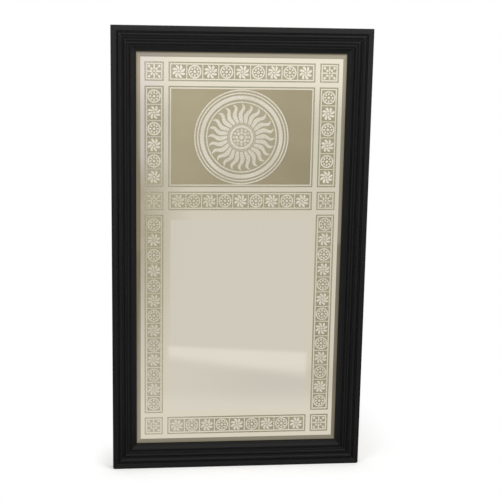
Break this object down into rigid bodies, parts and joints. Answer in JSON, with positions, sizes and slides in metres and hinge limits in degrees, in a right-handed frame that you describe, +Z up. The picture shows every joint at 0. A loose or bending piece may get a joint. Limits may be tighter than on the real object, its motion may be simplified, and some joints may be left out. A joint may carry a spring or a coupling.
{
  "type": "ornamented wall mirror",
  "caption": "Tall wall mirror in a reeded black mitred frame; bevelled glass with tile borders and a sun disc above a clear lower pane; ring hangers on the back.",
  "frame": {"origin": "centre of the underside of the bottom rail, halfway through the frame's depth", "axes": "+Z up along the mirror's height, +X along its width to the viewer's right, -Y out of the mirror's face, +Y towards the wall"},
  "size_m": [0.74, 0.0417, 1.3],
  "materials": {
    "ebonised_wood": "satin black stain and polish over close-grained wood",
    "silvered_glass": "aged silvering, polished",
    "silver_figure": "silver figures left bright in the etched ground",
    "etched_ground": "satin acid-etched ground, grey bronze",
    "back_paint": "lead-grey backing paint over the silver",
    "slip_wood": "plain softwood",
    "hardboard": "smooth tempered hardboard",
    "point_steel": "plain stamped steel",
    "zinc_plate": "zinc plated",
    "screw_steel": "bright steel, slightly tarnished",
    "brassed_steel": "brass plated, dulled",
    "buffer_rubber": "black rubber"
  },
  "bodies": {
    "frame": {"top_rail": "ebonised_wood", "bottom_rail": "ebonised_wood", "left_stile": "ebonised_wood", "right_stile": "ebonised_wood", "upper_left_bracket": "zinc_plate", "upper_right_bracket": "zinc_plate", "lower_left_bracket": "zinc_plate", "lower_right_bracket": "zinc_plate", "bracket_screws": "screw_steel", "mirror_glass": "silvered_glass", "silver_backing": "back_paint", "edge_slips": "slip_wood", "backing_board": "hardboard", "board_points": "point_steel", "left_hanger_strap": "brassed_steel", "right_hanger_strap": "brassed_steel", "hanger_screws": "screw_steel", "left_wall_buffer": "buffer_rubber", "right_wall_buffer": "buffer_rubber", "etched_outlines": "etched_ground", "tile_grounds": "etched_ground", "sun_panel": "etched_ground", "sun_rings": "silver_figure", "sun_rays": "silver_figure", "sun_rosette": "silver_figure"},
    "left_ring": {"left_hanger_ring": "brassed_steel"},
    "right_ring": {"right_hanger_ring": "brassed_steel"}
  },
  "joints": [
    {"name": "left_ring_swing", "type": "hinge", "parent": "frame", "child": "left_ring", "pos_m": [-0.339, 0.02085, 1.01], "axis": [1, 0, 0], "range_deg": [0, 180]},
    {"name": "right_ring_swing", "type": "hinge", "parent": "frame", "child": "right_ring", "pos_m": [0.339, 0.02085, 1.01], "axis": [1, 0, 0], "range_deg": [0, 180]}
  ]
}
